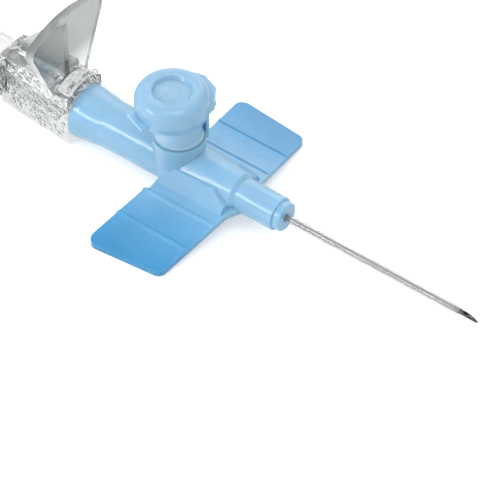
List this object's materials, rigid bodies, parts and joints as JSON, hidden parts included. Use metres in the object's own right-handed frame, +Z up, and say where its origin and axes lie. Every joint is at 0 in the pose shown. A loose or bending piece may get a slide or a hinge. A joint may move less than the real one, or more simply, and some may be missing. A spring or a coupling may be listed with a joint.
{
  "type": "intravenous cannula",
  "caption": "Winged intravenous cannula with injection port: a soft catheter over a steel needle, blue winged hub, swivelling port cap, clear needle grip with thumb plate, white end cap.",
  "frame": {"origin": "middle of the bounding box's base, on the surface the part lies on", "axes": "+X along the catheter towards the needle's tip, +Y to the part's left seen from behind, +Z up through the port cap"},
  "size_m": [0.0782, 0.0304, 0.0177],
  "materials": {
    "hub_blue": "translucent blue polypropylene, glossy",
    "catheter_white": "milky fluoropolymer",
    "needle_steel": "drawn stainless steel, bright",
    "valve_silicone": "soft translucent silicone",
    "cap_blue": "translucent blue polyethylene, glossy",
    "grip_clear": "clear polycarbonate, polished",
    "glue_clear": "cured clear adhesive",
    "filter_white": "porous white polyethylene",
    "end_cap_white": "white polyethylene, slightly translucent"
  },
  "bodies": {
    "cannula": {"catheter_hub": "hub_blue", "catheter_tube": "catheter_white", "catheter_ferrule": "needle_steel", "port_valve": "valve_silicone"},
    "cap_ring": {"cap_ring": "cap_blue"},
    "port_cap": {"port_cap": "cap_blue"},
    "needle_unit": {"needle": "needle_steel", "needle_adhesive": "glue_clear", "needle_grip": "grip_clear", "vent_filter": "filter_white"},
    "luer_cap": {"luer_cap": "end_cap_white"}
  },
  "joints": [
    {"name": "needle_withdraw", "type": "slide", "parent": "cannula", "child": "needle_unit", "axis": [-1, 0, 0], "range_m": [0, 0.06]},
    {"name": "cap_swivel", "type": "hinge", "parent": "cannula", "child": "cap_ring", "pos_m": [-0.0045, 0, 0.0075], "axis": [0, 0, 1], "continuous": true},
    {"name": "cap_flip", "type": "hinge", "parent": "cap_ring", "child": "port_cap", "pos_m": [-0.00291, 0.00415, 0.012], "axis": [-0.9336, 0.3584, 0], "range_deg": [0, 150]},
    {"name": "luer_cap_off", "type": "slide", "parent": "needle_unit", "child": "luer_cap", "axis": [-1, 0, 0], "range_m": [0, 0.008]}
  ]
}
